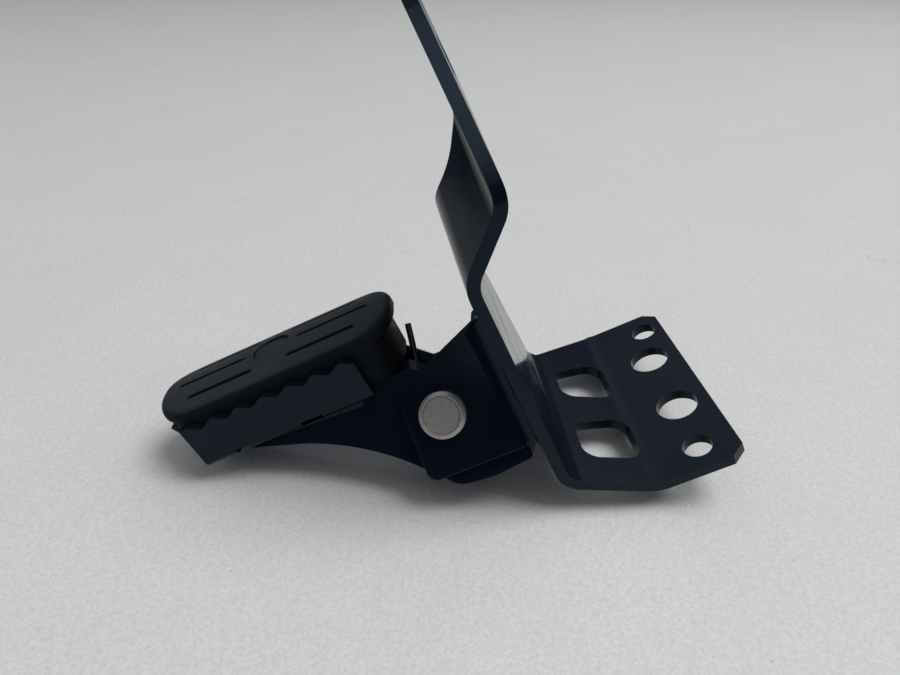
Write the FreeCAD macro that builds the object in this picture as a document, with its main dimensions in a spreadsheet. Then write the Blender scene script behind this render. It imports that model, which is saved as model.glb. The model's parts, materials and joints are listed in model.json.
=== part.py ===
import FreeCAD, Part
import math
import os

import Sketcher

# Folding footpeg on its welded bracket, in millimetres and degrees.
# Sizes are measured from the pivot: X runs inboard, Y to the rear, Z up, square to the tread.
# The finished part is moved so that the midpoint of its two frame bolts is the origin.
SIZES = {
    # bracket sheet: a wall, a sloping apron and a flat flange folded from one plate
    "gauge": 4.0,
    "flange_inner": 12.0,
    "wall_face": 26.4,
    "front_reach": 26.0,
    "fold_drop": 27.4,
    "fold_inner": 8.0,
    "foot_rear": 54.9,
    "foot_flare_start": 33.0,
    "apron_run": 27.5,
    "apron_angle": 30.0,
    "flange_end": 89.3,
    "flange_rear": 72.7,
    "corner_cut_long": 5.0,
    "corner_cut_wide": 4.3,
    # strap: a slanted joggle and a leaning eye at the top of the wall
    "joggle_height": 56.4,
    "joggle_offset": 17.9,
    "joggle_angle": 47.0,
    "joggle_inner": 8.0,
    "bend_slant": 26.0,
    "strap_toe": 3.2,
    "knee_drop": 32.5,
    "knee_round": 20.0,
    "neck_rear": 4.0,
    "neck_drop": 28.5,
    "neck_round": 12.0,
    "eye_rear": 7.4,
    "eye_height": 108.5,
    "eye_half_width": 16.0,
    "eye_reach": 24.0,
    "eye_flat": 2.0,
    "eye_bore": 12.5,
    "strap_lean": 26.0,
    # apron windows, measured down the slope from the fold
    "window_top": 8.4,
    "window_length": 22.0,
    "window_corner": 6.0,
    "rear_window_front": 24.4,
    "rear_window_rear_top": 41.0,
    "rear_window_rear_foot": 50.5,
    "front_window_front": -13.0,
    "front_window_rear_top": 6.5,
    "front_window_rear_foot": 10.8,
    # flange holes
    "bolt_bore": 10.5,
    "rear_bolt_in": 81.0,
    "rear_bolt_back": 60.7,
    "front_bolt_in": 75.5,
    "front_bolt_back": -15.6,
    "relief_bore": 15.5,
    "relief_in": 76.8,
    "rear_relief_back": 40.5,
    "front_relief_back": 8.0,
    # clevis ears, in the pin's own plane
    "pin_tilt": 35.0,
    "clevis_half": 12.0,
    "ear_nose": 13.0,
    "ear_foot": 20.0,
    "ear_shoulder": 12.5,
    "ear_top": 28.0,
    "ear_nose_round": 11.0,
    "ear_foot_round": 4.0,
    "ear_horn": 6.5,
    "ear_horn_run": 7.5,
    "ear_horn_foot": 11.2,
    "ear_weld_leg": 3.6,
    "ear_weld_round": 3.2,
    # pivot pin, washer, split pin and spacer bush
    "pin_bore": 10.0,
    "pin_running": 0.06,
    "pin_head": 16.0,
    "pin_head_high": 4.0,
    "pin_head_edge": 1.1,
    "pin_tip_edge": 0.8,
    "pin_tip_past_split": 3.2,
    "washer_wide": 19.0,
    "washer_thick": 1.6,
    "split_wire": 1.4,
    "split_play": 0.1,
    "split_eye": 2.4,
    "split_leg": 4.5,
    "split_bend": 1.7,
    "bush_wide": 13.0,
    "side_play": 0.4,
    # return spring
    "spring_wire": 2.4,
    "spring_coil": 18.2,
    "spring_turns": 2.4,
    "spring_pitch": 2.7,
    "spring_leg_top": 36.0,
    "spring_leg_lean": 8.4,
    "spring_seat": 0.3,
    # peg arm: a forged beam under the tread, with a slotted knuckle on the pin
    "knuckle_round": 15.0,
    "slot_wide": 13.0,
    "slot_floor": 12.0,
    "beam_tip": 72.0,
    "beam_tip_low": 15.1,
    "arch_in": 32.3,
    "arch_low": 3.2,
    "arch_round": 100.0,
    "heel_start": 4.3,
    "heel_start_drop": 24.8,
    "heel_start_round": 8.0,
    "heel_flat_start": 7.9,
    "heel_drop": 25.8,
    "heel_end": 22.5,
    "heel_end_drop": 24.5,
    "heel_edge": 1.5,
    "step_play": 0.3,
    "step_end": 4.5,
    "step_round": 6.0,
    "step_foot": 2.0,
    "step_foot_low": 15.0,
    "crest_start": 12.0,
    "crest_high": 32.6,
    "crest_end": 0.5,
    "crest_end_high": 22.0,
    "stop_tab_drop": 18.0,
    "stop_tab_high": 5.0,
    "stop_play": 0.3,
    # tread: a stamped channel with wavy edges
    "tread_seat": 19.6,
    "tread_gauge": 3.0,
    "tread_edge": 2.0,
    "tread_outer": 88.0,
    "tread_inner": 20.5,
    "tread_top": 37.6,
    "tread_middle": 16.0,
    "tooth_pitch": 10.0,
    "tooth_count": 7,
    "tooth_first": 80.2,
    "tooth_depth": 2.3,
    "tooth_half": 9.1,
    "tooth_floor_half": 0.8,
    "tooth_round": 2.6,
    "tip_lip_reach": 7.0,
    "tip_lip_top": 36.0,
    "tip_lip_half": 11.0,
    "notch_high": 2.2,
    "tip_notch_start": 75.0,
    "heel_notch_start": 49.0,
    "tip_notch_long": 4.5,
    "heel_notch_long": 8.5,
    "tread_weld_leg": 2.4,
    "tread_weld_tip": 66.0,
    "tread_weld_heel": 24.6,
    # rubber pad
    "pad_outer": 97.0,
    "pad_inner": 3.4,
    "pad_heel": 6.4,
    "pad_heel_high": 37.0,
    "pad_rim_low": 40.5,
    "pad_half": 16.0,
    "pad_play": 0.2,
    "pad_side_top": 41.3,
    "pad_ridge": 47.54,
    "pad_crown_round": 40.0,
    "pad_shoulder": 1.2,
    "pad_end_round": 3.0,
    "pad_corner": 14.0,
    "pad_lip_play": 1.2,
    "groove_wide": 1.7,
    "groove_deep": 1.5,
    "groove_spread": 9.0,
    "groove_end": 8.2,
    "groove_badge_gap": 3.2,
    "outer_groove_end": 13.4,
    "outer_groove_clear": 6.8,
    "badge_wide": 14.5,
    "badge_deep": 0.6,
    "spigot_bore": 7.0,
    "spigot_play": 0.05,
    "spigot_spread": 44.0,
    # reach of the outlines that cut right across the part
    "cut_reach": 200.0,
}


class Size:
    """A number together with the spreadsheet formula that gives it."""

    def __init__(self, value, formula):
        self.value = value
        self.formula = formula

    def _joined(self, other, sign, value):
        return Size(value, f"({self.formula} {sign} {size(other).formula})")

    def __add__(self, other):
        return self._joined(other, "+", self.value + size(other).value)

    def __sub__(self, other):
        return self._joined(other, "-", self.value - size(other).value)

    def __mul__(self, other):
        return self._joined(other, "*", self.value * size(other).value)

    def __truediv__(self, other):
        return self._joined(other, "/", self.value / size(other).value)

    def __neg__(self):
        return Size(-self.value, f"(-1 * {self.formula})")


def size(number):
    if isinstance(number, Size):
        return number
    return Size(number, repr(number))


def sine(angle):
    return Size(math.sin(math.radians(angle.value)), f"sin({angle.formula} * 1deg)")


def cosine(angle):
    return Size(math.cos(math.radians(angle.value)), f"cos({angle.formula} * 1deg)")


def tangent(angle):
    return Size(math.tan(math.radians(angle.value)), f"tan({angle.formula} * 1deg)")


def root(number):
    return Size(math.sqrt(number.value), f"sqrt({number.formula})")


doc = FreeCAD.newDocument("folding_footpeg")
sheet = doc.addObject("Spreadsheet::Sheet", "Dims")
for row, (alias, number) in enumerate(SIZES.items(), start=1):
    sheet.set(f"A{row}", alias)
    sheet.set(f"B{row}", str(number))
    sheet.setAlias(f"B{row}", alias)
doc.recompute()

d = {alias: Size(float(sheet.get(alias)), f"Dims.{alias}") for alias in SIZES}

# Places that several pieces share
wall_back = d["wall_face"] + d["gauge"]
flange_outer = d["flange_inner"] + d["gauge"]
joggle_outer = d["joggle_inner"] + d["gauge"]
fold_outer = d["fold_inner"] + d["gauge"]
flange_drop = d["fold_drop"] + d["apron_run"] * tangent(d["apron_angle"])
ear_outer = d["clevis_half"] + d["gauge"]
arm_half = d["clevis_half"] - d["side_play"]
pin_radius = d["pin_bore"] / 2
arm_bore = d["pin_bore"] + d["pin_running"] * 2
split_place = ear_outer + d["washer_thick"] + d["split_wire"] + d["split_play"]
tread_floor = d["tread_seat"] + d["tread_gauge"]
wall_inside = d["pad_half"] + d["pad_play"]
wall_outside = wall_inside + d["tread_gauge"]
pad_slope = (d["pad_ridge"] - d["pad_side_top"]) / d["pad_half"]
pad_top = d["pad_ridge"] - d["pad_crown_round"] * (root(pad_slope * pad_slope + 1.0) - 1.0)
slot_back = (d["spring_coil"] + d["spring_wire"]) / 2 + d["spring_seat"]
FAR = d["cut_reach"]

# Frame of the whole part: the midpoint of the two bolts, on the flange's upper face
SHIFT = (
    -(d["rear_bolt_in"] + d["front_bolt_in"]) / 2,
    -(d["rear_bolt_back"] + d["front_bolt_back"]) / 2,
    flange_drop,
)
X_AXIS = FreeCAD.Vector(1, 0, 0)
Y_AXIS = FreeCAD.Vector(0, 1, 0)


def bind_placement(holder, field, base, axis=X_AXIS, angle=None):
    """Place an object or a sketch's plane by formulas: a point, and a turn about one axis."""
    turn = angle if angle else size(0.0)
    point = FreeCAD.Vector(*(size(part).value for part in base))
    setattr(holder, field, FreeCAD.Placement(point, FreeCAD.Rotation(axis, turn.value)))
    for letter, part in zip("xyz", base):
        holder.setExpression(f"{field}.Base.{letter}", size(part).formula)
    if angle:
        holder.setExpression(f"{field}.Rotation.Angle", turn.formula)


def new_body(label, on_pin=False):
    """A sub-part at the pivot: level, or turned so that its Z runs along the pin to its head."""
    body = doc.addObject("PartDesign::Body", label)
    body.Label = label
    lean = size(90.0) - d["pin_tilt"] if on_pin else None
    bind_placement(body, "Placement", SHIFT, X_AXIS, lean)
    return body


def new_sketch(body, name, plane, base=(0.0, 0.0, 0.0), axis=X_AXIS, angle=None):
    sketch = body.newObject("Sketcher::SketchObject", f"{body.Label}_{name}")
    support = next(f for f in body.Origin.OriginFeatures if f.Role == plane)
    sketch.AttachmentSupport = [(support, "")]
    sketch.MapMode = "FlatFace"
    bind_placement(sketch, "AttachmentOffset", base, axis, angle)
    return sketch


def bind(sketch, kind, places, amount):
    index = sketch.addConstraint(Sketcher.Constraint(kind, *places, amount.value))
    name = f"{kind}_{index}"
    sketch.renameConstraint(index, name)
    sketch.setExpression(f"Constraints.{name}", amount.formula)


def pin_point(sketch, geometry, end, x, y):
    bind(sketch, "DistanceX", (-1, 1, geometry, end), x)
    bind(sketch, "DistanceY", (-1, 1, geometry, end), y)


def draw_circle(sketch, x, y, diameter):
    x, y, diameter = size(x), size(y), size(diameter)
    centre = FreeCAD.Vector(x.value, y.value, 0)
    circle = sketch.addGeometry(Part.Circle(centre, FreeCAD.Vector(0, 0, 1), diameter.value / 2), False)
    pin_point(sketch, circle, 3, x, y)
    bind(sketch, "Diameter", (circle,), diameter)


def draw_outline(sketch, corners):
    """A closed outline: each corner is (x, y), or (x, y, radius) where it is rounded."""
    spots = [(size(c[0]), size(c[1])) for c in corners]
    rounds = [size(c[2]) if len(c) > 2 else None for c in corners]
    points = [FreeCAD.Vector(x.value, y.value, 0) for x, y in spots]
    count = len(points)
    entry, leave, arcs = {}, {}, {}
    for i, point in enumerate(points):
        back = (points[i - 1] - point).normalize()
        ahead = (points[(i + 1) % count] - point).normalize()
        if rounds[i] is None:
            entry[i] = leave[i] = point
            continue
        half = back.getAngle(ahead) / 2
        setback = rounds[i].value / math.tan(half)
        entry[i] = point + back * setback
        leave[i] = point + ahead * setback
        centre = point + (back + ahead).normalize() * (rounds[i].value / math.sin(half))
        left_turn = back.cross(ahead).z < 0
        first, last = (entry[i], leave[i]) if left_turn else (leave[i], entry[i])
        spans = [math.atan2((p - centre).y, (p - centre).x) for p in (first, last)]
        circle = Part.Circle(centre, FreeCAD.Vector(0, 0, 1), rounds[i].value)
        arcs[i] = (Part.ArcOfCircle(circle, *spans), left_turn)
    lines = [
        sketch.addGeometry(Part.LineSegment(leave[i], entry[(i + 1) % count]), False) for i in range(count)
    ]
    for i, (x, y) in enumerate(spots):
        before, after = lines[i - 1], lines[i]
        if rounds[i] is None:
            sketch.addConstraint(Sketcher.Constraint("Coincident", before, 2, after, 1))
            pin_point(sketch, after, 1, x, y)
            continue
        arc = sketch.addGeometry(arcs[i][0], False)
        start, end = (1, 2) if arcs[i][1] else (2, 1)
        mark = sketch.addGeometry(Part.Point(points[i]), True)
        pin_point(sketch, mark, 1, x, y)
        sketch.addConstraint(Sketcher.Constraint("PointOnObject", mark, 1, before))
        sketch.addConstraint(Sketcher.Constraint("PointOnObject", mark, 1, after))
        sketch.addConstraint(Sketcher.Constraint("Tangent", before, 2, arc, start))
        sketch.addConstraint(Sketcher.Constraint("Tangent", arc, end, after, 1))
        bind(sketch, "Radius", (arc,), rounds[i])


def rectangle(x0, y0, x1, y1):
    return [(x0, y0), (x1, y0), (x1, y1), (x0, y1)]


def pad(sketch, length, both=False, reverse=False):
    feature = sketch.getParentGeoFeatureGroup().newObject("PartDesign::Pad", f"{sketch.Name}_pad")
    feature.Profile = sketch
    feature.SideType = "Symmetric" if both else "One side"
    feature.Reversed = reverse
    feature.setExpression("Length", size(length).formula)
    return feature


def pocket(sketch, depth=None, both=True, reverse=False):
    """A cut right through, or of a given depth; it has to take something away."""
    body = sketch.getParentGeoFeatureGroup()
    doc.recompute()
    before = body.Shape.Volume
    feature = body.newObject("PartDesign::Pocket", f"{sketch.Name}_pocket")
    feature.Profile = sketch
    feature.SideType = "Symmetric" if both else "One side"
    feature.Reversed = reverse
    if depth is None:
        feature.Type = "ThroughAll"
    else:
        feature.setExpression("Length", size(depth).formula)
    doc.recompute()
    if body.Shape.Volume >= before:
        raise RuntimeError(f"{feature.Name} cuts nothing")
    return feature


def bracket_plate():
    """The folded plate: wall, apron and flange along Y, and the joggled strap along its slanted bends."""
    body = new_body("bracket_plate")
    gauge, inner = d["gauge"], d["joggle_inner"]
    fold = -d["fold_drop"]
    deck = -flange_drop
    fold_turn = size(90.0) - d["apron_angle"]
    under_fold = fold - gauge * tangent(fold_turn / 2)
    under_apron = wall_back + d["apron_run"] - gauge * tangent(d["apron_angle"] / 2)
    wall_top = d["joggle_height"] - joggle_outer * 2
    folded = new_sketch(body, "fold_profile", "XZ_Plane", (0.0, 0.0, d["front_reach"]))
    draw_outline(folded, [
        (d["wall_face"], wall_top),
        (d["wall_face"], under_fold, fold_outer),
        (under_apron, deck - gauge, flange_outer),
        (d["flange_end"], deck - gauge),
        (d["flange_end"], deck),
        (wall_back + d["apron_run"], deck, d["flange_inner"]),
        (wall_back, fold, d["fold_inner"]),
        (wall_back, wall_top),
    ])
    pad(folded, d["front_reach"] + d["flange_rear"], reverse=True)

    joggle, toe = d["joggle_angle"], d["strap_toe"]
    joggle_rise = d["joggle_offset"] / tangent(joggle)
    mitre = gauge * tangent(joggle / 2)
    strap_face = d["wall_face"] + d["joggle_offset"]
    spread = gauge / (cosine(joggle + toe) + 1.0)
    strap_back = strap_face + spread * (cosine(joggle) + cosine(toe))
    back_rise = joggle_rise + spread * (sine(toe) - sine(joggle))
    drift = FAR * tangent(toe)
    strap_foot = (0.0, d["joggle_height"], d["front_reach"])
    strap = new_sketch(body, "strap_profile", "XZ_Plane", strap_foot, X_AXIS, d["bend_slant"])
    draw_outline(strap, [
        (d["wall_face"], -d["joggle_height"]),
        (wall_back, -d["joggle_height"]),
        (wall_back, -mitre, inner),
        (strap_back, back_rise, joggle_outer),
        (strap_back - drift, back_rise + FAR),
        (strap_face - drift, joggle_rise + FAR),
        (strap_face, joggle_rise, inner),
        (d["wall_face"], size(0.0), joggle_outer),
    ])
    extrusion = pad(strap, d["joggle_height"] / 2)
    extrusion.SideType = "Two sides"
    extrusion.setExpression("Length2", FAR.formula)

    along = (sine(d["strap_lean"]), cosine(d["strap_lean"]))
    half = d["eye_half_width"]
    corner = half - d["eye_flat"]
    knee, neck = (d["eye_height"] - d[f"{name}_drop"] for name in ("knee", "neck"))
    tip = tuple(d[name] + part * d["eye_reach"] for name, part in zip(("eye_rear", "eye_height"), along))
    side = new_sketch(body, "side_outline", "YZ_Plane")
    draw_outline(side, [
        (-FAR, fold),
        (-d["front_reach"], fold),
        (-d["front_reach"], knee, d["knee_round"]),
        (tip[0] - along[1] * half, tip[1] + along[0] * half, corner),
        (tip[0] + along[1] * half, tip[1] - along[0] * half, corner),
        (d["neck_rear"], neck, d["neck_round"]),
        (d["foot_rear"], fold),
        (FAR, fold),
        (FAR, FAR * 2),
        (-FAR, FAR * 2),
    ])
    pocket(side)

    flare_end = wall_back + d["apron_run"]
    cut_start = d["flange_end"] - d["corner_cut_long"]
    plan = new_sketch(body, "plan_outline", "XY_Plane")
    draw_outline(plan, [
        (size(0.0), d["foot_rear"]),
        (d["foot_flare_start"], d["foot_rear"]),
        (flare_end, d["flange_rear"]),
        (flare_end, FAR),
        (size(0.0), FAR),
    ])
    for edge, sign in ((d["flange_rear"], 1), (-d["front_reach"], -1)):
        draw_outline(plan, [
            (cut_start, edge),
            (d["flange_end"], edge - d["corner_cut_wide"] * sign),
            (FAR, edge - d["corner_cut_wide"] * sign),
            (FAR, FAR * sign),
            (cut_start, FAR * sign),
        ])
    pocket(plan)

    windows = new_sketch(
        body, "windows", "XY_Plane", (wall_back, 0.0, fold), Y_AXIS, d["apron_angle"]
    )
    window_foot = d["window_top"] + d["window_length"]
    for name in ("rear_window", "front_window"):
        draw_outline(windows, [
            (d["window_top"], d[f"{name}_front"], d["window_corner"]),
            (window_foot, d[f"{name}_front"], d["window_corner"]),
            (window_foot, d[f"{name}_rear_foot"], d["window_corner"]),
            (d["window_top"], d[f"{name}_rear_top"], d["window_corner"]),
        ])
    pocket(windows, gauge * 4)

    holes = new_sketch(body, "flange_holes", "XY_Plane")
    draw_circle(holes, d["rear_bolt_in"], d["rear_bolt_back"], d["bolt_bore"])
    draw_circle(holes, d["front_bolt_in"], d["front_bolt_back"], d["bolt_bore"])
    draw_circle(holes, d["relief_in"], d["rear_relief_back"], d["relief_bore"])
    draw_circle(holes, d["relief_in"], d["front_relief_back"], d["relief_bore"])
    pocket(holes)

    eye = new_sketch(body, "eye_hole", "YZ_Plane")
    draw_circle(eye, d["eye_rear"], d["eye_height"], d["eye_bore"])
    pocket(eye)
    return body


def ear(label, inner_face, horn):
    """One cheek of the clevis, square to the pin; the rear one has a horn beside the wall."""
    body = new_body(label, on_pin=True)
    face = new_sketch(body, "outline", "XY_Plane", (0.0, 0.0, inner_face))
    corners = [
        (-d["ear_nose"], -d["ear_foot"], d["ear_foot_round"]),
        (d["wall_face"], -d["ear_foot"]),
    ]
    slope = (d["ear_top"] - d["ear_shoulder"]) / (d["wall_face"] + d["ear_nose"])
    if horn:
        run, foot = d["ear_horn_run"], d["ear_horn_foot"]
        corners += [
            (d["wall_face"], d["ear_top"] + d["ear_horn"]),
            (d["wall_face"] - run, d["ear_top"] + d["ear_horn"] - slope * run),
            (d["wall_face"] - foot, d["ear_top"] - slope * foot),
        ]
    else:
        corners += [(d["wall_face"], d["ear_top"])]
    corners += [(-d["ear_nose"], d["ear_shoulder"], d["ear_nose_round"])]
    draw_outline(face, corners)
    pad(face, d["gauge"])
    hole = new_sketch(body, "pin_hole", "XY_Plane")
    draw_circle(hole, 0.0, 0.0, arm_bore)
    pocket(hole)
    return body


def ear_weld(label, side):
    """A rounded bead in the corner between an ear's outer face and the wall."""
    body = new_body(label, on_pin=True)
    leg = d["ear_weld_leg"]
    face = ear_outer * side
    bead = new_sketch(body, "bead", "XZ_Plane", (0.0, 0.0, d["ear_foot"]))
    draw_outline(bead, [
        (d["wall_face"], face),
        (d["wall_face"], face + leg * side),
        (d["wall_face"] - leg, face + leg * side, d["ear_weld_round"]),
        (d["wall_face"] - leg, face),
    ])
    pad(bead, d["ear_foot"] + d["ear_top"], reverse=True)
    return body


def pivot_pin():
    """A headed pin with a cross hole for the split pin."""
    body = new_body("pivot_pin", on_pin=True)
    end = -(split_place + d["pin_tip_past_split"])
    head = d["pin_head"] / 2
    head_top = ear_outer + d["pin_head_high"]
    profile = new_sketch(body, "half_profile", "XZ_Plane")
    draw_outline(profile, [
        (size(0.0), end),
        (pin_radius - d["pin_tip_edge"], end),
        (pin_radius, end + d["pin_tip_edge"]),
        (pin_radius, ear_outer),
        (head, ear_outer),
        (head, head_top - d["pin_head_edge"]),
        (head - d["pin_head_edge"], head_top),
        (size(0.0), head_top),
    ])
    turned = body.newObject("PartDesign::Revolution", "pivot_pin_turned")
    turned.Profile = profile
    turned.ReferenceAxis = (profile, ["V_Axis"])
    cross = new_sketch(body, "split_hole", "XZ_Plane")
    draw_circle(cross, 0.0, -split_place, d["split_wire"] * 2 + d["split_play"] * 2)
    pocket(cross)
    return body


def ring(label, inside, outside, bottom, thick):
    body = new_body(label, on_pin=True)
    face = new_sketch(body, "ring", "XY_Plane", (0.0, 0.0, bottom))
    draw_circle(face, 0.0, 0.0, outside)
    draw_circle(face, 0.0, 0.0, inside)
    pad(face, thick)
    return body


def split_pin():
    """One wire, doubled through the pin: an eye above it, and two legs bent apart below."""
    wire, eye, leg, bend = (d[f"split_{name}"].value for name in ("wire", "eye", "leg", "bend"))
    play = d["split_play"].value
    shank = pin_radius.value + play
    spread = wire / 2 + play / 2
    vector = FreeCAD.Vector
    eye_foot = shank + eye
    turn = math.sqrt(0.5)
    pieces = []
    for sign in (1, -1):
        straight_end = vector(sign * spread, -shank - play, 0)
        centre = vector(sign * (spread + bend), -shank - play, 0)
        middle = centre + vector(-sign * bend * turn, -bend * turn, 0)
        bent = centre + vector(0, -bend, 0)
        path = Part.Wire([
            Part.LineSegment(vector(sign * spread, eye_foot, 0), straight_end).toShape(),
            Part.Arc(straight_end, middle, bent).toShape(),
            Part.LineSegment(bent, bent + vector(sign * leg, 0, 0)).toShape(),
        ])
        circle = Part.Circle(vector(sign * spread, eye_foot, 0), vector(0, 1, 0), wire / 2)
        section = Part.Wire(circle.toShape())
        pieces.append(path.makePipeShell([section], True, False))
    loop = Part.makeTorus(eye, wire / 2, vector(0, eye_foot + eye - wire / 4, 0), vector(0, 0, 1))
    shape = loop.multiFuse(pieces).removeSplitter()
    feature = doc.addObject("Part::Feature", "split_pin")
    feature.Label = "split_pin"
    feature.Shape = shape
    depth = FreeCAD.Placement(vector(0, 0, -split_place.value), FreeCAD.Rotation())
    feature.Placement = pin_place().multiply(depth)
    return feature


def pin_place():
    point = FreeCAD.Vector(*(part.value for part in SHIFT))
    return FreeCAD.Placement(point, FreeCAD.Rotation(X_AXIS, 90.0 - d["pin_tilt"].value))


def return_spring():
    """A torsion spring round the bush, from one wire: a leg up the slot, the coil, a leg to the wall."""
    wire, coil, pitch, turns = (d[f"spring_{name}"].value for name in ("wire", "coil", "pitch", "turns"))
    vector = FreeCAD.Vector
    height = pitch * turns
    seat = d["wall_face"].value - d["spring_seat"].value - wire / 2
    helix = Part.makeHelix(pitch, height, coil / 2)
    helix.translate(vector(0, 0, -height / 2))
    helix.rotate(vector(0, 0, 0), vector(0, 0, 1), 180.0 - d["spring_leg_lean"].value)
    edge = helix.Edges[0]
    start, end = edge.valueAt(edge.FirstParameter), edge.valueAt(edge.LastParameter)
    arm_way, wall_way = edge.tangentAt(edge.FirstParameter) * -1, edge.tangentAt(edge.LastParameter)
    arm_end = start + arm_way * ((d["spring_leg_top"].value - start.y) / arm_way.y)
    wall_end = end + wall_way * ((seat - end.x) / wall_way.x)
    path = Part.Wire([
        Part.LineSegment(arm_end, start).toShape(), edge, Part.LineSegment(end, wall_end).toShape(),
    ])
    section = Part.Wire(Part.Circle(arm_end, arm_way, wire / 2).toShape())
    feature = doc.addObject("Part::Feature", "return_spring")
    feature.Label = "return_spring"
    feature.Shape = path.makePipeShell([section], True, True)
    feature.Placement = pin_place()
    return feature


def peg_arm():
    """The forged beam under the tread, its knuckle on the pin, and the heel that stops it at the wall."""
    body = new_body("peg_arm", on_pin=True)
    tip, heel_end = d["beam_tip"], d["heel_end"]
    step_start, step_top = d["step_play"] - d["tread_inner"], tread_floor - d["step_play"]
    beam = new_sketch(body, "beam", "XY_Plane")
    draw_outline(beam, [
        (-tip, d["beam_tip_low"]),
        (-d["arch_in"], d["arch_low"], d["arch_round"]),
        (-d["heel_start"], -d["heel_start_drop"], d["heel_start_round"]),
        (d["heel_flat_start"], -d["heel_drop"]),
        (heel_end, -d["heel_end_drop"], d["heel_edge"]),
        (heel_end, -d["stop_tab_drop"]),
        (d["knuckle_round"] / 2, -d["knuckle_round"] / 2),
        (d["crest_end"], d["tread_seat"] * 2),
        (-tip, d["tread_seat"] * 2),
    ])
    pad(beam, arm_half * 2, both=True)
    level = d["pin_tilt"] - 90.0
    top = new_sketch(body, "top_trim", "XZ_Plane", (0.0, 0.0, 0.0), X_AXIS, level)
    draw_outline(top, [
        (-FAR, d["tread_seat"]),
        (step_start, d["tread_seat"]),
        (step_start, step_top),
        (-d["step_end"], step_top, d["step_round"]),
        (d["step_foot"], d["step_foot_low"]),
        (d["knuckle_round"], d["step_foot_low"]),
        (d["knuckle_round"], FAR),
        (-FAR, FAR),
    ])
    pocket(top)
    crest = new_sketch(body, "rear_crest", "XY_Plane", (0.0, 0.0, d["slot_wide"] / 2))
    draw_outline(crest, [
        (-d["crest_start"], d["crest_high"]),
        (d["crest_end"], d["crest_end_high"]),
        (d["knuckle_round"], d["crest_end_high"]),
        (d["knuckle_round"], FAR),
        (-d["crest_start"], FAR),
    ])
    pocket(crest, d["slot_wide"] / 2 + arm_half, both=False)
    knuckle = new_sketch(body, "knuckle", "XY_Plane")
    draw_circle(knuckle, 0.0, 0.0, d["knuckle_round"] * 2)
    pad(knuckle, arm_half * 2, both=True)
    slot = new_sketch(body, "spring_slot", "XY_Plane")
    draw_outline(slot, rectangle(-slot_back, -d["slot_floor"], FAR, FAR))
    pocket(slot, d["slot_wide"])
    tab = new_sketch(body, "stop_tab", "XY_Plane")
    tab_top = d["stop_tab_high"] - d["stop_tab_drop"]
    draw_outline(tab, rectangle(size(0.0), -d["stop_tab_drop"], d["wall_face"] - d["stop_play"], tab_top))
    pad(tab, d["slot_wide"], both=True)
    hole = new_sketch(body, "pin_hole", "XY_Plane")
    draw_circle(hole, 0.0, 0.0, arm_bore)
    pocket(hole)
    return body


def tread():
    """The stamped channel: floor, two wavy walls, a flared tip lip and two notches in the front edge."""
    body = new_body("tread")
    middle, gauge = d["tread_middle"], d["tread_gauge"]
    seat, top = d["tread_seat"], d["tread_top"]
    left, right = middle - wall_outside, middle + wall_outside
    channel = new_sketch(body, "channel", "YZ_Plane", (0.0, 0.0, -d["tread_outer"]))
    draw_outline(channel, [
        (left, seat, d["tread_edge"]),
        (right, seat, d["tread_edge"]),
        (right, top),
        (right - gauge, top),
        (right - gauge, tread_floor),
        (left + gauge, tread_floor),
        (left + gauge, top),
        (left, top),
    ])
    pad(channel, d["tread_outer"] - d["tread_inner"])
    lip_top = d["tip_lip_top"]
    lip_half = d["tip_lip_half"]
    lip = new_sketch(body, "tip_lip", "XZ_Plane", (0.0, 0.0, lip_half - middle))
    foot = -d["tread_outer"] + gauge
    draw_outline(lip, [
        (foot + gauge, seat),
        (foot + gauge, tread_floor),
        (foot, tread_floor, gauge / 2),
        (foot - d["tip_lip_reach"], lip_top),
        (foot - d["tip_lip_reach"] - gauge, lip_top),
        (foot - gauge, seat, gauge),
    ])
    pad(lip, lip_half * 2, reverse=True)
    valley = new_sketch(body, "valley", "XZ_Plane")
    low, deep = -d["tooth_first"], top - d["tooth_depth"]
    draw_outline(valley, [
        (low - d["tooth_floor_half"], deep, d["tooth_round"]),
        (low + d["tooth_floor_half"], deep, d["tooth_round"]),
        (low + d["tooth_half"], top + gauge),
        (low - d["tooth_half"], top + gauge),
    ])
    cut = pocket(valley)
    wave = body.newObject("PartDesign::LinearPattern", "tread_wave")
    wave.Originals = [cut]
    wave.Direction = (valley, ["H_Axis"])
    wave.Mode = "Spacing"
    wave.setExpression("Offset", d["tooth_pitch"].formula)
    wave.setExpression("Occurrences", d["tooth_count"].formula)
    body.Tip = wave
    notches = new_sketch(body, "edge_notches", "XZ_Plane", (0.0, 0.0, -left))
    for place in ("tip", "heel"):
        start = -d[f"{place}_notch_start"]
        draw_outline(notches, rectangle(
            start, seat - gauge, start + d[f"{place}_notch_long"], seat + d["notch_high"],
        ))
    pocket(notches, gauge, both=False)
    spigots = new_sketch(body, "spigot_holes", "XY_Plane")
    for side in (-1, 1):
        draw_circle(spigots, spigot_place(side), middle, d["spigot_bore"] + d["spigot_play"] * 2)
    pocket(spigots)
    return body


def spigot_place(side):
    return -(d["tread_outer"] + d["tread_inner"]) / 2 + d["spigot_spread"] / 2 * side


def tread_weld(label, side):
    """A bead in the corner between the arm's side and the tread's underside."""
    body = new_body(label)
    leg, seat = d["tread_weld_leg"], d["tread_seat"]
    tilt = d["pin_tilt"]
    corner = (arm_half * side + seat * sine(tilt)) / cosine(tilt)
    bead = new_sketch(body, "bead", "YZ_Plane", (0.0, 0.0, -d["tread_weld_tip"]))
    draw_outline(bead, [
        (corner, seat),
        (corner + leg * side, seat),
        (corner - leg * sine(tilt), seat - leg * cosine(tilt)),
    ])
    pad(bead, d["tread_weld_tip"] - d["tread_weld_heel"])
    return body


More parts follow.
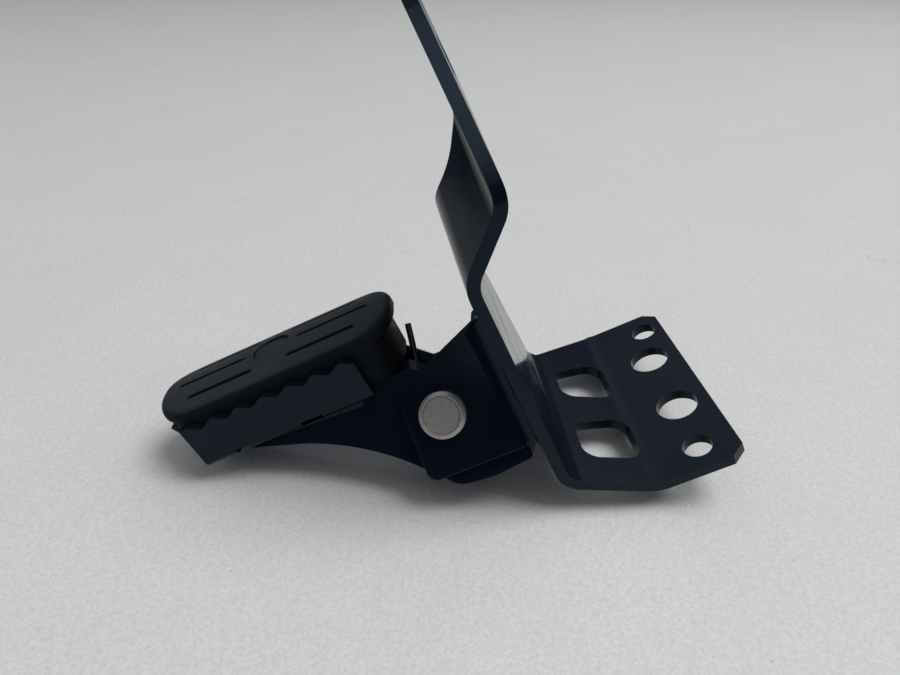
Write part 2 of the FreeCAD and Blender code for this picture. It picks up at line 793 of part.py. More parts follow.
def rubber_pad():
    """The crowned rubber block: a stepped tip over the lip, grooves, a bare round badge and two spigots."""
    body = new_body("rubber_pad")
    middle, half = d["tread_middle"], d["pad_half"]
    left, right = middle - half, middle + half
    outer, inner = -d["pad_outer"], -d["pad_inner"]
    block = new_sketch(body, "section", "YZ_Plane", (0.0, 0.0, outer))
    draw_outline(block, [
        (left, tread_floor),
        (right, tread_floor),
        (right, d["pad_side_top"], d["pad_shoulder"]),
        (middle, d["pad_ridge"], d["pad_crown_round"]),
        (left, d["pad_side_top"], d["pad_shoulder"]),
    ])
    pad(block, d["pad_outer"] - d["pad_inner"])
    plan = new_sketch(body, "plan", "XY_Plane")
    draw_outline(plan, rectangle(-FAR, -FAR, FAR, FAR))
    draw_outline(plan, [
        (outer, left, d["pad_corner"]),
        (inner, left, d["pad_corner"]),
        (inner, right, d["pad_corner"]),
        (outer, right, d["pad_corner"]),
    ])
    pocket(plan)
    side = new_sketch(body, "side", "XZ_Plane")
    lip_top = d["tip_lip_top"] + d["pad_lip_play"]
    foot = -d["tread_outer"] + d["tread_gauge"] + d["pad_lip_play"]
    draw_outline(side, rectangle(-FAR, -FAR, FAR, FAR))
    draw_outline(side, [
        (foot, size(0.0)),
        (foot, tread_floor),
        (foot - d["tip_lip_reach"], lip_top),
        (outer, lip_top),
        (outer, pad_top + d["pad_play"], d["pad_end_round"]),
        (inner, pad_top + d["pad_play"], d["pad_end_round"]),
        (inner, d["pad_rim_low"]),
        (-d["pad_heel"], d["pad_heel_high"]),
        (-d["pad_heel"], size(0.0)),
    ])
    pocket(side)
    grooves = new_sketch(body, "grooves", "XY_Plane", (0.0, 0.0, pad_top))
    wide = d["groove_wide"]
    centre = (outer + inner) / 2
    for row in (-1, 0, 1):
        line = middle + d["groove_spread"] * row
        clear = d["outer_groove_clear"] if row else d["badge_wide"] / 2 + d["groove_badge_gap"]
        reach = d["outer_groove_end"] if row else d["groove_end"]
        for ends in ((outer + reach, centre - clear), (centre + clear, inner - reach)):
            draw_outline(grooves, rectangle(ends[0], line - wide / 2, ends[1], line + wide / 2))
    pocket(grooves, d["groove_deep"], both=False)
    badge = new_sketch(body, "badge", "XY_Plane", (0.0, 0.0, pad_top))
    draw_circle(badge, centre, middle, d["badge_wide"])
    pocket(badge, d["badge_deep"], both=False)
    spigots = new_sketch(body, "spigots", "XY_Plane", (0.0, 0.0, tread_floor))
    for side in (-1, 1):
        draw_circle(spigots, spigot_place(side), middle, d["spigot_bore"])
    pad(spigots, d["tread_gauge"], reverse=True)
    return body


parts = [
    bracket_plate(),
    ear("front_ear", d["clevis_half"], horn=False),
    ear("rear_ear", -ear_outer, horn=True),
    ear_weld("front_ear_weld", 1),
    ear_weld("rear_ear_weld", -1),
    pivot_pin(),
    ring("pin_washer", arm_bore, d["washer_wide"], -(ear_outer + d["washer_thick"]), d["washer_thick"]),
    split_pin(),
    ring(
        "spring_bush", arm_bore, d["bush_wide"],
        -(d["slot_wide"] / 2 - d["side_play"]), d["slot_wide"] - d["side_play"] * 2,
    ),
    return_spring(),
    peg_arm(),
    tread(),
    tread_weld("front_tread_weld", -1),
    tread_weld("rear_tread_weld", 1),
    rubber_pad(),
]
doc.recompute()

for item in doc.Objects:
    if "Invalid" in item.State or "Error" in item.State:
        raise RuntimeError(f"{item.Label} failed: {item.State}")
for part in parts:
    if part.Shape.isNull() or not part.Shape.isValid():
        raise RuntimeError(f"{part.Label} has no valid shape")

os.makedirs("parts", exist_ok=True)
for part in parts:
    part.Shape.exportStep(f"parts/{part.Label}.step")
    print(part.Label, len(part.Shape.Solids), round(part.Shape.Volume, 1))
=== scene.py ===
import json
import math

import bmesh
import bpy
import numpy as np
from mathutils import Matrix, Vector


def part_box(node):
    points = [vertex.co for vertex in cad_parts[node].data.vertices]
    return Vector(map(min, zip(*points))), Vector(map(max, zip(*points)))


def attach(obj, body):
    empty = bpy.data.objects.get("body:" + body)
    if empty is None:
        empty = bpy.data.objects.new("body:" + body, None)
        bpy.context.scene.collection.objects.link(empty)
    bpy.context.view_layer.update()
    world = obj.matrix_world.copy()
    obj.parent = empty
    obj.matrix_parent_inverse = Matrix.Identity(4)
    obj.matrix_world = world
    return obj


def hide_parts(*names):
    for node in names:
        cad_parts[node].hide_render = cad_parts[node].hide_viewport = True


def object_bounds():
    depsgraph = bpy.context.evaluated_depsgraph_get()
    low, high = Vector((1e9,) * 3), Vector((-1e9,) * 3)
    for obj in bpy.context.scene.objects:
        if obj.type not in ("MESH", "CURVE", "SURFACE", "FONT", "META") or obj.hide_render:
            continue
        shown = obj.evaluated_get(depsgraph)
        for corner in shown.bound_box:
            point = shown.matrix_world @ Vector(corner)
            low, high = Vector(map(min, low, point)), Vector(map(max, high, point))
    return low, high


# Folding footpeg on its welded bracket, lying on a pale table as it does in the photograph.
# All places are in the part's own frame: X inboard, Y to the rear, Z up, in metres.
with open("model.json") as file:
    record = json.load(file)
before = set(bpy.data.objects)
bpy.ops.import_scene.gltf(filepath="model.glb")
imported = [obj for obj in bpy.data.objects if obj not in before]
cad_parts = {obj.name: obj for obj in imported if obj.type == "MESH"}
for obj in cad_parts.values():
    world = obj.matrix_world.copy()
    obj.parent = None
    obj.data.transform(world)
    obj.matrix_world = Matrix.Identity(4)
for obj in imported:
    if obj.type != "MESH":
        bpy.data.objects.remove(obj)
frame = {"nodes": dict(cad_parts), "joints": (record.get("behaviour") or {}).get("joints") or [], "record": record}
cad_low, cad_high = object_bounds()
nodes = frame["nodes"]
scene = bpy.context.scene
scene.view_settings.view_transform = "Standard"

MM = 0.001

# The camera, fitted to the photograph: lengths in pixels, then the sensor in millimetres
PHOTO_WIDTH = 900
FOCAL_PX = 676.0
SENSOR = 36.0
CLIP_NEAR, CLIP_FAR = 0.01, 50.0
CAMERA_PLACE = Vector((-32.05, -218.15, 184.28)) * MM
CAMERA_RIGHT = Vector((0.91013, -0.07604, -0.40728))
CAMERA_UP = Vector((0.38647, 0.51011, 0.76839))

# The table leans against the part's frame: the part lies on its lower bend and on the tread's tip
TABLE_TILT = math.radians(24.8)
TABLE_UP = Vector((math.sin(TABLE_TILT), 0, math.cos(TABLE_TILT)))

joint = frame["joints"][0]
PIN_PLACE = Vector(joint["pos_m"])
PIN_AXIS = Vector(joint["axis"])


def ramp(value, low, high):
    """0 below low, 1 above high, and smooth between."""
    share = np.clip((value - low) / (high - low), 0.0, 1.0)
    return share * share * (3 - 2 * share)


class Shader:
    """A material's node tree, with the part's own coordinates at hand."""

    def __init__(self, name):
        self.material = bpy.data.materials.new(name)
        self.material.use_nodes = True
        self.tree = self.material.node_tree
        self.surface = self.tree.nodes["Principled BSDF"]
        self.coordinates = self.add("ShaderNodeTexCoord")
        self.place = self.coordinates.outputs["Object"]

    def add(self, kind, **settings):
        node = self.tree.nodes.new(kind)
        for key, value in settings.items():
            setattr(node, key, value)
        return node

    def join(self, source, target):
        self.tree.links.new(source, target)

    def set(self, **values):
        for key, value in values.items():
            self.surface.inputs[key.replace("_", " ").title().replace("Ior", "IOR")].default_value = value

    def noise(self, scale, detail=3.0, roughness=0.5, distortion=0.0):
        node = self.add("ShaderNodeTexNoise")
        self.join(self.place, node.inputs["Vector"])
        for key, value in (
            ("Scale", scale), ("Detail", detail), ("Roughness", roughness), ("Distortion", distortion),
        ):
            node.inputs[key].default_value = value
        return node.outputs["Fac"]

    def cells(self, scale):
        node = self.add("ShaderNodeTexVoronoi")
        self.join(self.place, node.inputs["Vector"])
        node.inputs["Scale"].default_value = scale
        return node.outputs["Distance"]

    def hairs(self, scale, width):
        """Thin winding lines: where a slow noise passes its middle, in some places only."""
        off_line = self.math("ABSOLUTE", self.math("SUBTRACT", self.noise(scale, 1.0, 0.4, 0.8), 0.5), 0.0)
        line = self.span(off_line, width * 0.3, width, 1.0, 0.0)
        return self.math("MULTIPLY", line, self.span(self.noise(scale * 0.9, 2.0), 0.52, 0.62, 0.0, 1.0))

    def from_pin(self):
        """The distance from the pin's axis."""
        arm = self.add("ShaderNodeVectorMath", operation="SUBTRACT")
        self.join(self.place, arm.inputs[0])
        arm.inputs[1].default_value = PIN_PLACE
        turn = self.add("ShaderNodeVectorMath", operation="CROSS_PRODUCT")
        self.join(arm.outputs[0], turn.inputs[0])
        turn.inputs[1].default_value = PIN_AXIS
        reach = self.add("ShaderNodeVectorMath", operation="LENGTH")
        self.join(turn.outputs[0], reach.inputs[0])
        return reach.outputs["Value"]

    def facing_up(self):
        """1 on faces that look up in the part's frame, 0 on the sides and below."""
        turned = self.add("ShaderNodeSeparateXYZ")
        self.join(self.coordinates.outputs["Normal"], turned.inputs[0])
        return self.span(turned.outputs["Z"], 0.62, 0.97, 0.0, 1.0)

    def span(self, value, low, high, to_low, to_high):
        node = self.add("ShaderNodeMapRange")
        self.join(value, node.inputs["Value"])
        for key, number in (("From Min", low), ("From Max", high), ("To Min", to_low), ("To Max", to_high)):
            node.inputs[key].default_value = number
        return node.outputs["Result"]

    def math(self, operation, first, second):
        node = self.add("ShaderNodeMath", operation=operation)
        for socket, value in zip(node.inputs, (first, second)):
            if isinstance(value, (int, float)):
                socket.default_value = value
            else:
                self.join(value, socket)
        return node.outputs[0]

    def blend(self, share, first, second):
        """Mix two colours, each given or made by other nodes."""
        node = self.add("ShaderNodeMix", data_type="RGBA")
        self.join(share, node.inputs["Factor"])
        for key, colour in ((6, first), (7, second)):
            if isinstance(colour, tuple):
                node.inputs[key].default_value = (*colour, 1.0)
            else:
                self.join(colour, node.inputs[key])
        return node.outputs[2]

    def bump(self, height, depth, under=None):
        node = self.add("ShaderNodeBump")
        node.inputs["Strength"].default_value = 1.0
        node.inputs["Distance"].default_value = depth
        self.join(height, node.inputs["Height"])
        if under is not None:
            self.join(under, node.inputs["Normal"])
        return node.outputs["Normal"]

    def wire(self, **sockets):
        for key, source in sockets.items():
            self.join(source, self.surface.inputs[key.replace("_", " ").title()])
        return self.material


def black_paint():
    """Gloss black paint with a cold cast: slight waves, haze, hair scratches and a few pale specks."""
    look = Shader("black_paint")
    haze = look.noise(60.0, 5.0, 0.6)
    specks = look.span(look.cells(700.0), 0.05, 0.12, 1.0, 0.0)
    patches = look.span(look.noise(45.0, 2.0), 0.55, 0.68, 0.0, 1.0)
    marks = look.math("MULTIPLY", specks, patches)
    colour = look.blend(haze, (0.0024, 0.0036, 0.0078), (0.0044, 0.0062, 0.0122))
    colour = look.blend(marks, colour, (0.030, 0.033, 0.038))
    hair = look.hairs(38.0, 0.004)
    peel = look.bump(look.noise(1100.0, 2.0), 0.000012)
    wave = look.bump(look.noise(90.0, 2.0), 0.00008, peel)
    scratch = look.bump(hair, 0.000010, wave)
    look.set(specular_ior_level=0.25, specular_tint=(0.52, 0.76, 1.0, 1.0))
    roughness = look.math("ADD", look.span(haze, 0.3, 0.75, 0.10, 0.22), look.math("MULTIPLY", hair, 0.05))
    return look.wire(base_color=colour, roughness=roughness, normal=scratch)


def rubber():
    """Moulded black rubber: matt, faintly mottled, fine-grained, and painted lighter where it faces up: painted
    top light, partly bleach and dust.
    """
    look = Shader("rubber")
    mottle = look.noise(120.0, 6.0, 0.65)
    dust = look.span(look.noise(35.0, 4.0), 0.45, 0.75, 0.0, 1.0)
    fresh = look.blend(mottle, (0.0050, 0.0060, 0.0078), (0.0078, 0.0092, 0.0116))
    # The colour for up-facing faces: painted top light, partly bleach, with some dust patches.
    painted_light_and_bleach = look.blend(mottle, (0.0220, 0.0250, 0.0298), (0.0322, 0.0358, 0.0422))
    painted_light_and_bleach = look.blend(look.math("MULTIPLY", dust, 0.30), painted_light_and_bleach, (0.035, 0.038, 0.042))
    # Up-facing faces take the lighter colour: painted top light, not only bleach.
    colour = look.blend(look.facing_up(), fresh, painted_light_and_bleach)
    grain = look.bump(look.noise(2600.0, 3.0), 0.00004)
    look.set(specular_ior_level=0.08, specular_tint=(0.60, 0.80, 1.0, 1.0))
    roughness = look.span(mottle, 0.3, 0.7, 0.46, 0.60)
    return look.wire(base_color=colour, roughness=roughness, normal=grain)


def bare_steel():
    """Plain steel, blotched and scuffed from use, turned about the pin: a painted highlight on the rim and a fine
    dark ring.
    """
    look = Shader("bare_steel")
    blotch = look.noise(900.0, 6.0, 0.7)
    scuff = look.noise(1500.0, 4.0, 0.6, 0.6)
    colour = look.blend(blotch, (0.17, 0.162, 0.15), (0.46, 0.446, 0.415))
    colour = look.blend(look.span(scuff, 0.6, 0.75, 0.0, 0.6), colour, (0.17, 0.165, 0.155))
    radius = look.from_pin()
    # A paler band on the chamfered rim: a painted highlight where the chamfer faces up.
    rim = look.span(radius, 6.6 * MM, 7.2 * MM, 0.0, 0.55)
    colour = look.blend(rim, colour, (0.62, 0.60, 0.57))
    off_ring = look.math("ABSOLUTE", look.math("SUBTRACT", radius, 6.2 * MM), 0.0)
    ring = look.span(off_ring, 0.10 * MM, 0.28 * MM, 1.0, 0.0)
    colour = look.blend(look.math("MULTIPLY", ring, 0.6), colour, (0.10, 0.095, 0.09))
    relief = look.bump(scuff, 0.00005)
    groove = look.bump(look.math("MULTIPLY", ring, -1.0), 0.00012, relief)
    look.set(metallic=0.75)
    roughness = look.span(blotch, 0.3, 0.7, 0.36, 0.58)
    return look.wire(base_color=colour, roughness=roughness, normal=groove)


def spring_steel():
    """Dark oiled spring wire."""
    look = Shader("spring_steel")
    blotch = look.noise(300.0, 4.0)
    colour = look.blend(blotch, (0.010, 0.010, 0.011), (0.026, 0.025, 0.024))
    relief = look.bump(look.noise(1800.0, 3.0), 0.00003)
    look.set(metallic=0.6)
    return look.wire(base_color=colour, roughness=look.span(blotch, 0.3, 0.7, 0.30, 0.50), normal=relief)


PAINT = black_paint()
RUBBER = rubber()
STEEL = bare_steel()
WIRE = spring_steel()

LOOKS = {"black_paint": PAINT, "bare_steel": STEEL, "spring_steel": WIRE, "rubber": RUBBER}
SLOTS = {part["node"]: part["material_slot"] for part in frame["record"]["subparts"]}
for name, slot in SLOTS.items():
    nodes[name].data.materials.clear()
    nodes[name].data.materials.append(LOOKS[slot])

# Rounded edges on the sheet and the forged pieces, in millimetres
EDGE_ROUND = {
    "bracket_plate": 0.45, "front_ear": 0.8, "rear_ear": 0.8, "peg_arm": 0.8, "tread": 0.5,
    "pivot_pin": 0.25, "pin_washer": 0.2,
}
JOIN_GAP = 0.002
EDGE_STEPS = 3
FLAT_ANGLE, EDGE_ANGLE, SHARP_ANGLE = (math.radians(angle) for angle in (0.6, 38, 35))
for name, width in EDGE_ROUND.items():
    node = nodes[name]
    joined = node.modifiers.new("weld", "WELD")
    joined.merge_threshold = JOIN_GAP * MM
    flat = node.modifiers.new("flat", "DECIMATE")
    flat.decimate_type = "DISSOLVE"
    flat.angle_limit = FLAT_ANGLE
    edge = node.modifiers.new("edge", "BEVEL")
    edge.width = width * MM
    edge.segments = EDGE_STEPS
    edge.limit_method = "ANGLE"
    edge.angle_limit = EDGE_ANGLE
    edge.use_clamp_overlap = True
    edge.harden_normals = False
    for face in node.data.polygons:
        face.use_smooth = True
    smooth = node.modifiers.new("smooth", "WEIGHTED_NORMAL")
    smooth.keep_sharp = False


def new_piece(name, shape, body, node):
    """A finished mesh that stands for a CAD node, in that node's material."""
    bmesh.ops.recalc_face_normals(shape, faces=shape.faces)
    mesh = bpy.data.meshes.new(name)
    shape.to_mesh(mesh)
    shape.free()
    for face in mesh.polygons:
        face.use_smooth = True
    mesh.set_sharp_from_angle(angle=SHARP_ANGLE)
    mesh.materials.append(LOOKS[SLOTS[node]])
    piece = bpy.data.objects.new(name, mesh)
    scene.collection.objects.link(piece)
    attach(piece, body)
    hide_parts(node)
    return piece


# The rubber pad, in millimetres from the middle of its plan and from its flat underside.
# GROOVE_ROWS: a row's place across -> how far its grooves keep from the pad's end and from the middle.
PAD_LOW, PAD_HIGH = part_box("rubber_pad")
SPIGOT_DEEP = 3.0
PAD_ORIGIN = (PAD_LOW + PAD_HIGH) / 2
PAD_ORIGIN.z = PAD_LOW.z + SPIGOT_DEEP * MM
PAD_HALF_LONG = (PAD_HIGH.x - PAD_LOW.x) / 2 / MM
PAD_HALF_WIDE = (PAD_HIGH.y - PAD_LOW.y) / 2 / MM
PAD_CORNER = 14.0
PAD_TOP = (PAD_HIGH.z - PAD_ORIGIN.z) / MM
CROWN_ROUND = 40.0
CROWN_SLOPE = 0.39
SIDE_SHOULDER, END_SHOULDER, END_REACH = 1.5, 3.4, 22.4
TIP_FOOT, TIP_RISE, TIP_RUN = -33.6, 14.6, 7.0
TIP_UNDER_ROUND, UNDER_ROUND = 2.6, 0.7
HEEL_BACK, HEEL_START, HEEL_TOP, RIM_LOW = 3.0, 32.8, 14.4, 17.9
GROOVE_ROWS = {-9.0: (13.4, 6.8), 0.0: (8.2, 10.45), 9.0: (13.4, 6.8)}
GROOVE_HALF, GROOVE_DEEP, GROOVE_SOFT = 0.85, 1.5, 0.45
BADGE_ROUND, BADGE_DEEP = 7.25, 0.9
SPIGOT_ROUND, SPIGOT_TAPER, SPIGOT_SIDES, SPIGOT_PLACES = 3.5, 0.3, 40, (-26.05, 17.95)
WALL_MARGIN = 0.1

# The grid over the pad's plan: even steps, finer ones and their reach at the grooves, and the badge's own
ALONG_STEP, ALONG_FINE, ALONG_REACH, ALONG_BADGE = 1.0, 0.25, 1.0, 0.3
ACROSS_STEP, ACROSS_FINE, ACROSS_REACH, ACROSS_BADGE = 0.8, 0.15, 0.5, 0.35
ROLL_STEPS = 12


def inset(x, y):
    """How far inside the pad's rounded plan a point is."""
    over_x = np.abs(x) - (PAD_HALF_LONG - PAD_CORNER)
    over_y = np.abs(y) - (PAD_HALF_WIDE - PAD_CORNER)
    outside = np.hypot(np.maximum(over_x, 0), np.maximum(over_y, 0))
    return PAD_CORNER - outside - np.minimum(np.maximum(over_x, over_y), 0)


def rolled(depth, radius):
    """The drop of a rounded edge at a given depth inside it."""
    back = np.clip(radius - depth, 0, radius)
    return radius - np.sqrt(radius * radius - back * back)


def pad_top(x, y):
    """The crowned top with its grooves and the badge's shallow round."""
    lean = math.atan(CROWN_SLOPE)
    knee = CROWN_ROUND * math.sin(lean)
    across = np.abs(y)
    arc = CROWN_ROUND - np.sqrt(CROWN_ROUND ** 2 - np.minimum(across, knee) ** 2)
    height = PAD_TOP - arc - np.maximum(across - knee, 0) * CROWN_SLOPE
    near_end = ramp(np.abs(x), PAD_HALF_LONG - END_REACH, PAD_HALF_LONG)
    height -= rolled(inset(x, y), SIDE_SHOULDER + (END_SHOULDER - SIDE_SHOULDER) * near_end)
    for row, (end, clear) in GROOVE_ROWS.items():
        for first, last in ((end - PAD_HALF_LONG, -clear), (clear, PAD_HALF_LONG - end)):
            beyond = np.maximum(np.maximum(first - x, x - last) + GROOVE_HALF, 0)
            away = np.hypot(beyond, y - row)
            height -= GROOVE_DEEP * (1 - ramp(away, GROOVE_HALF - GROOVE_SOFT, GROOVE_HALF))
    height -= BADGE_DEEP * (1 - ramp(np.hypot(x, y), BADGE_ROUND - GROOVE_SOFT, BADGE_ROUND))
    return height


def pad_under(x, y):
    """The flat underside, rising over the tread's lip to the rounded tip."""
    lift = np.clip((TIP_FOOT - x) / TIP_RUN, 0, 1) * TIP_RISE
    radius = UNDER_ROUND + (TIP_UNDER_ROUND - UNDER_ROUND) * ramp(-x, -TIP_FOOT, TIP_RUN - TIP_FOOT)
    return lift + rolled(inset(x, y), radius)


def clustered(half, step, marks, fine, reach, badge_step):
    """Places from -half to half: even steps, closer at the marks and the badge, rolled in at the ends."""
    low, high = -half, half
    bend = 1 - np.cos(np.linspace(0, math.pi / 2, ROLL_STEPS))
    places = [np.arange(low + END_SHOULDER, high - END_SHOULDER, step)]
    places += [low + END_SHOULDER * bend, high - END_SHOULDER * bend]
    places += [np.arange(mark - reach, mark + reach, fine) for mark in marks]
    places = np.unique(np.concatenate(places).clip(low, high).round(3))
    badge = np.arange(-BADGE_ROUND, BADGE_ROUND, badge_step)
    return np.unique(np.concatenate([places, badge]).round(3))


def rubber_pad():
    """The crowned block, from one grid over its plan: a top, an underside and a wall between their rims."""
    reaches = [place for end, clear in GROOVE_ROWS.values() for place in (PAD_HALF_LONG - end, clear)]
    ends = [sign * place for place in reaches for sign in (-1, 1)]
    edges = [row + side * (GROOVE_HALF - GROOVE_SOFT / 2) for row in GROOVE_ROWS for side in (-1, 1)]
    along = clustered(PAD_HALF_LONG, ALONG_STEP, ends, ALONG_FINE, ALONG_REACH, ALONG_BADGE)
    across = clustered(PAD_HALF_WIDE, ACROSS_STEP, edges, ACROSS_FINE, ACROSS_REACH, ACROSS_BADGE)
    across = across / PAD_HALF_WIDE
    flat_end = PAD_HALF_LONG - PAD_CORNER
    over = np.maximum(np.abs(along) - flat_end, 0)
    half_width = PAD_HALF_WIDE - PAD_CORNER + np.sqrt(np.maximum(PAD_CORNER ** 2 - over ** 2, 0))
    x = np.repeat(along[:, None], len(across), 1)
    y = half_width[:, None] * across[None, :]
    shape = bmesh.new()
    heel_x = x - HEEL_BACK * ramp(x, HEEL_START, PAD_HALF_LONG)
    sheets = []
    for surface, place_x in ((pad_top, x), (pad_under, heel_x)):
        z = surface(x, y)
        sheets.append([
            [shape.verts.new(PAD_ORIGIN + Vector(point) * MM) for point in zip(place_x[i], y[i], z[i])]
            for i in range(len(along))
        ])
    for sheet in sheets:
        for i in range(len(along) - 1):
            for j in range(len(across) - 1):
                shape.faces.new((sheet[i][j], sheet[i + 1][j], sheet[i + 1][j + 1], sheet[i][j + 1]))
    last_i, last_j = len(along) - 1, len(across) - 1
    rim = [(i, 0) for i in range(last_i)] + [(last_i, j) for j in range(last_j)]
    rim += [(i, last_j) for i in range(last_i, 0, -1)] + [(0, j) for j in range(last_j, 0, -1)]
    top, under = sheets
    rings = [[top[i][j] for i, j in rim]]
    low, high = pad_under(x, y), pad_top(x, y)
    margin = (high - low) * WALL_MARGIN
    for level, places in ((RIM_LOW, x), (HEEL_TOP, heel_x)):
        z = np.clip(level, low + margin, high - margin)
        rings.append([
            shape.verts.new(PAD_ORIGIN + Vector((places[i, j], y[i, j], z[i, j])) * MM) for i, j in rim
        ])
    rings.append([under[i][j] for i, j in rim])
    for upper, lower in zip(rings, rings[1:]):
        for i in range(len(rim)):
            shape.faces.new((upper[i - 1], upper[i], lower[i], lower[i - 1]))
    for place in SPIGOT_PLACES:
        centre = PAD_ORIGIN + Vector((place, 0, -SPIGOT_DEEP / 2)) * MM
        bmesh.ops.create_cone(
            shape, cap_ends=True, segments=SPIGOT_SIDES, radius1=(SPIGOT_ROUND - SPIGOT_TAPER) * MM,
            radius2=SPIGOT_ROUND * MM, depth=SPIGOT_DEEP * MM, matrix=Matrix.Translation(centre),
        )
    return new_piece("moulded_pad", shape, "peg", "rubber_pad")


# Weld beads, in millimetres: rounded ends, ripples that lag towards the edges and wander a little
WELD_STEP, WELD_ACROSS, WELD_END, WELD_STUB = 0.3, 12, 2.6, 0.03
WELD_PITCH, WELD_LAG, WELD_WANDER, WELD_DRIFT = 3.1, 0.45, 1.6, 0.53


def weld_bead(name, node, body, ends, ways, legs, hollow, ripple, slope):
    """A rippled bead along a corner between two faces; its far end slopes with the first face's edge."""
    start, end = (Vector(place) for place in ends)
    first, second = (Vector(way).normalized() for way in ways)
    outward, forward = (first + second).normalized(), (end - start).normalized()
    length = (end - start).length
    steps = int(length / (WELD_STEP * MM))
    shape = bmesh.new()
    rings = []
    for i in range(steps + 1):
        share = i / steps
        run = share * length / MM
        from_end = min(run, length / MM - run)
        close = math.sqrt(1 - (1 - min(from_end / WELD_END, 1)) ** 2) * (1 - WELD_STUB) + WELD_STUB
        sides = [(low + (high - low) * share) * close for low, high in legs]
        centre = start.lerp(end, share)
        ring = [shape.verts.new(centre)]
        for j in range(WELD_ACROSS + 1):
            turn = j / WELD_ACROSS
            arch = math.sin(math.pi * turn)
            lag = (1 - math.cos(2 * math.pi * turn)) * WELD_LAG
            drift = WELD_WANDER * math.sin(run * WELD_DRIFT)
            wave = math.sin(2 * math.pi * (run + lag) / WELD_PITCH + drift)
            reach = sides[0] * (1 - turn) ** hollow
            place = first * reach + second * sides[1] * turn ** hollow
            place += outward * arch * ripple * wave * close - forward * reach * slope * share
            ring.append(shape.verts.new(centre + place * MM))
        rings.append(ring)
    for ring, other in zip(rings, rings[1:]):
        for j in range(len(ring)):
            shape.faces.new((ring[j - 1], ring[j], other[j], other[j - 1]))
    shape.faces.new(rings[0])
    shape.faces.new(reversed(rings[-1]))
    return new_piece(name, shape, body, node)


# The welds' places from the pin, in millimetres: the ears to the wall, and the arm to the tread.
# Legs: along the first face and along the second, each from the bead's start to its end.
EAR_UP = PIN_AXIS.cross(Vector((-1, 0, 0)))
WALL_FACE, EAR_FACE, EAR_FOOT, EAR_TOP, EAR_SLOPE = 26.4, 16.0, -21.0, 28.0, 0.393
EAR_SINK, EAR_LEGS, EAR_HOLLOW, EAR_RIPPLE = 0.05, [(6.0, 10.0), (3.0, 8.0)], 1.7, 0.012
TREAD_SEAT, ARM_HALF, TREAD_WELD = 19.6, 11.6, (-66.0, -24.6)
TREAD_LEGS, TREAD_HOLLOW, TREAD_RIPPLE = [(1.3, 1.6), (1.0, 2.6)], 0.9, 0.05
PIN_TILT = math.asin(-PIN_AXIS.z)
for place, side in (("front", 1), ("rear", -1)):
    outside = PIN_AXIS * -side
    corner = PIN_PLACE + (Vector((WALL_FACE, 0, 0)) + outside * (EAR_FACE - EAR_SINK)) * MM
    weld_bead(
        f"{place}_ear_bead", f"{place}_ear_weld", "bracket",
        [corner + EAR_UP * EAR_FOOT * MM, corner + EAR_UP * EAR_TOP * MM],
        [(-1, 0, 0), outside], EAR_LEGS, EAR_HOLLOW, EAR_RIPPLE, EAR_SLOPE,
    )
    level = (TREAD_SEAT * math.sin(PIN_TILT) - ARM_HALF * side) / math.cos(PIN_TILT)
    ends = [PIN_PLACE + Vector((x, level, TREAD_SEAT)) * MM for x in TREAD_WELD]
    weld_bead(
        f"{place}_tread_bead", f"{place}_tread_weld", "peg",
        ends, [(0, -side, 0), -EAR_UP], TREAD_LEGS, TREAD_HOLLOW, TREAD_RIPPLE, 0.0,
    )

rubber_pad()


def table_look():
    """A pale tabletop, clouded and fine-grained with specks and hairs, and clear from below."""
    look = Shader("table")
    cloud = look.noise(14.0, 6.0, 0.6)
    grain = look.noise(420.0, 4.0, 0.6)
    colour = look.blend(cloud, (0.58, 0.58, 0.56), (0.65, 0.65, 0.63))
    specks = look.span(look.cells(150.0), 0.04, 0.10, 1.0, 0.0)
    patches = look.span(look.noise(60.0, 2.0), 0.58, 0.66, 0.0, 0.5)
    colour = look.blend(look.math("MULTIPLY", specks, patches), colour, (0.30, 0.29, 0.27))
    hairs = look.math("MULTIPLY", look.hairs(16.0, 0.003), 0.4)
    colour = look.blend(hairs, colour, (0.36, 0.36, 0.35))
    fine = look.span(look.noise(760.0, 4.0, 0.75), 0.38, 0.66, 0.0, 0.5)
    colour = look.blend(fine, colour, (0.42, 0.42, 0.40))
    relief = look.bump(grain, 0.00022)
    look.set(specular_ior_level=0.3)
    look.wire(base_color=colour, roughness=look.span(grain, 0.3, 0.7, 0.45, 0.65), normal=relief)
    side_seen = look.add("ShaderNodeNewGeometry").outputs["Backfacing"]
    clear = look.add("ShaderNodeBsdfTransparent").outputs[0]
    either = look.add("ShaderNodeMixShader")
    look.join(side_seen, either.inputs[0])
    look.join(look.surface.outputs[0], either.inputs[1])
    look.join(clear, either.inputs[2])
    look.join(either.outputs[0], look.tree.nodes["Material Output"].inputs["Surface"])
    return look.material


TABLE_REACH = 5.0


def table():
    """The tabletop under the part's lowest point; gives the place below the part's middle."""
    lowest = min(TABLE_UP.dot(v.co) for node in nodes.values() for v in node.data.vertices)
    centre = (cad_low + cad_high) / 2
    centre -= TABLE_UP * (TABLE_UP.dot(centre) - lowest)
    side = Vector((0, 1, 0)) * TABLE_REACH
    along = side.cross(TABLE_UP)
    mesh = bpy.data.meshes.new("table")
    corners = [centre + along * i + side * j for i, j in ((-1, -1), (1, -1), (1, 1), (-1, 1))]
    mesh.from_pydata(corners, [], [(0, 1, 2, 3)])
    mesh.materials.append(table_look())
    floor = bpy.data.objects.new("table", mesh)
    scene.collection.objects.link(floor)
    return centre


def light(name, place, target, width, power):
    """A round area lamp at a place, turned to its target."""
    lamp = bpy.data.lights.new(name, "AREA")
    lamp.shape = "DISK"
    lamp.size = width
    lamp.energy = power
    holder = bpy.data.objects.new(name, lamp)
    holder.location = place
    holder.rotation_mode = "QUATERNION"
    holder.rotation_quaternion = (target - place).to_track_quat("-Z", "Y")
    scene.collection.objects.link(holder)


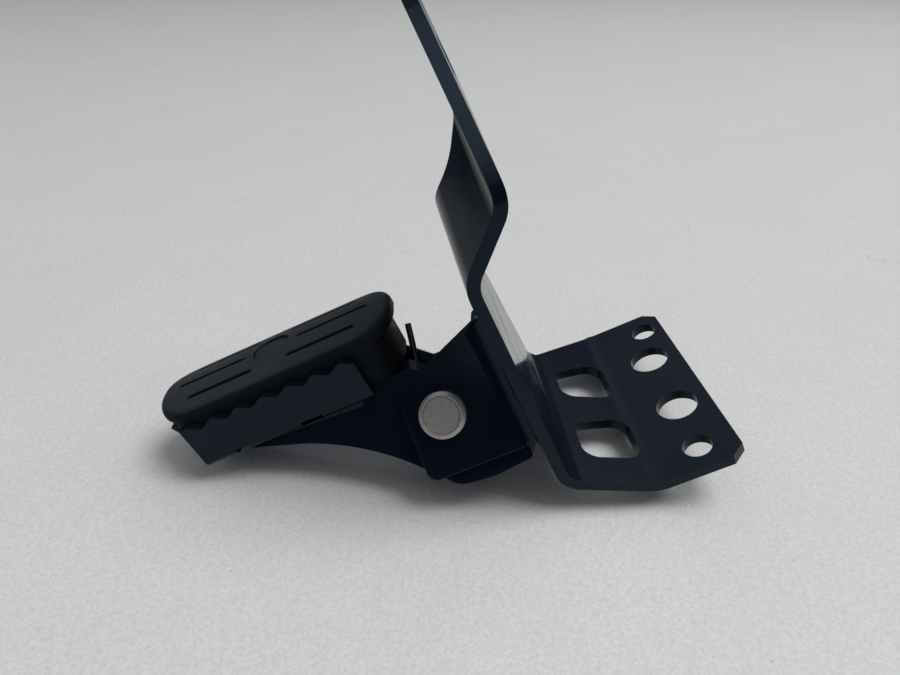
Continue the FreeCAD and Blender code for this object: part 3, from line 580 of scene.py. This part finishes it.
# The room's height above the horizon -> its colour
ROOM = ((0.45, (0.050, 0.065, 0.100, 1)), (0.64, (0.50, 0.51, 0.53, 1)))


def surroundings():
    """A dim room, darker and bluer towards the horizon, so that the lamps do the lighting."""
    world = bpy.data.worlds.new("room")
    scene.world = world
    world.use_nodes = True
    tree = world.node_tree
    place = tree.nodes.new("ShaderNodeTexCoord")
    height = tree.nodes.new("ShaderNodeVectorMath")
    height.operation = "DOT_PRODUCT"
    height.inputs[1].default_value = TABLE_UP
    tree.links.new(place.outputs["Generated"], height.inputs[0])
    shade = tree.nodes.new("ShaderNodeValToRGB")
    for element, (level, colour) in zip(shade.color_ramp.elements, ROOM):
        element.position = level
        element.color = colour
    tree.links.new(height.outputs["Value"], shade.inputs["Fac"])
    tree.links.new(shade.outputs["Color"], tree.nodes["Background"].inputs["Color"])


# The lamps: places in metres from what they light, widths in metres and powers in watts
OVERHEAD_PLACE = TABLE_UP * 3.8 + CAMERA_RIGHT * 1.8 + Vector((0, -0.3, 0))
OVERHEAD_WIDTH, OVERHEAD_POWER = 2.7, 146.0
WINDOW_PLACE = Vector((0, -1.52, 1.30))
WINDOW_WIDTH, WINDOW_POWER = 0.5, 0.9
ground = table()
surroundings()
light("overhead", ground + OVERHEAD_PLACE, ground, OVERHEAD_WIDTH, OVERHEAD_POWER)
plate_low, plate_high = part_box("bracket_plate")
strap = (plate_low + plate_high) / 2
light("window", strap + WINDOW_PLACE, strap, WINDOW_WIDTH, WINDOW_POWER)

lens = bpy.data.cameras.new("camera")
lens.sensor_width = SENSOR
lens.lens = SENSOR * FOCAL_PX / PHOTO_WIDTH
lens.clip_start = CLIP_NEAR
lens.clip_end = CLIP_FAR
camera = bpy.data.objects.new("camera", lens)
turn = Matrix((CAMERA_RIGHT, CAMERA_UP, CAMERA_RIGHT.cross(CAMERA_UP))).transposed()
camera.matrix_world = Matrix.Translation(CAMERA_PLACE) @ turn.to_4x4()
scene.collection.objects.link(camera)
scene.camera = camera
